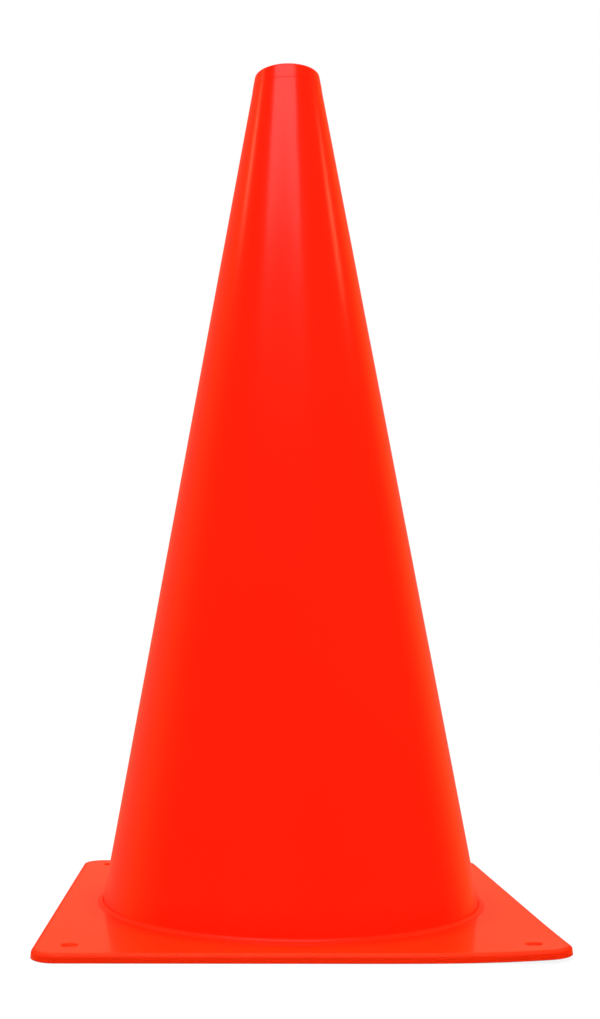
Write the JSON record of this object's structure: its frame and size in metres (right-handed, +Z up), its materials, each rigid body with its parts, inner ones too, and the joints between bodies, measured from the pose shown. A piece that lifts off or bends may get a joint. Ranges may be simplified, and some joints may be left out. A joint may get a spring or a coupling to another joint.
{
  "type": "training cone",
  "caption": "Tall orange plastic sports marker cone: a hollow straight-tapered body, open at the top, standing on a thin square foot plate with rounded corners.",
  "frame": {"origin": "centre of the foot plate's underside, on the ground and on the cone's axis", "axes": "+Z up along the cone's axis, +X and +Y square to the sides of the foot plate; -Y is the pictured front"},
  "size_m": [0.2, 0.2, 0.38],
  "materials": {
    "body_orange": "smooth moulded soft plastic, semi-gloss, bright orange-red",
    "plate_orange": "smooth moulded soft plastic, glossy, bright orange-red"
  },
  "bodies": {
    "root": {"cone_body": "body_orange", "base_plate": "plate_orange"}
  },
  "joints": []
}
